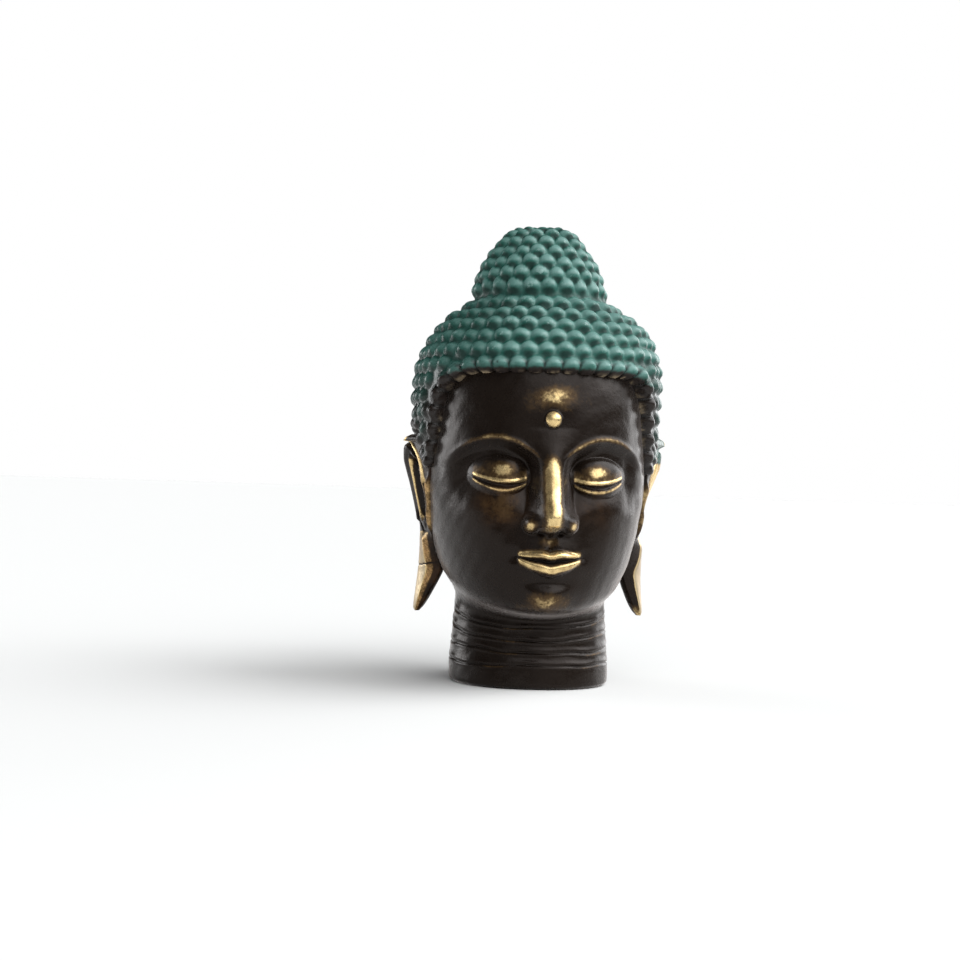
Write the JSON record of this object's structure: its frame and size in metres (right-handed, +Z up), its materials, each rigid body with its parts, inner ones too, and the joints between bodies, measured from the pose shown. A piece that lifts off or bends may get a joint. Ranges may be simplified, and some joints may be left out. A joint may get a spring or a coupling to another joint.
{
  "type": "buddha head figurine",
  "caption": "Small cast brass Buddha head with green curled hair, a rounded hair knot, long hanging ear lobes and a lined neck whose flat foot it stands on.",
  "frame": {"origin": "middle of the bounding box, on the flat underside of the neck", "axes": "+Z up along the neck to the top of the hair knot, the face looks along -Y, +X is on the right of someone who looks at the face"},
  "size_m": [0.055, 0.0628, 0.0951],
  "materials": {
    "patinated_brass": "dark brown patina rubbed back to bright brass on the raised features, hair painted verdigris green"
  },
  "bodies": {
    "root": {"buddha_head": "patinated_brass"}
  },
  "joints": []
}
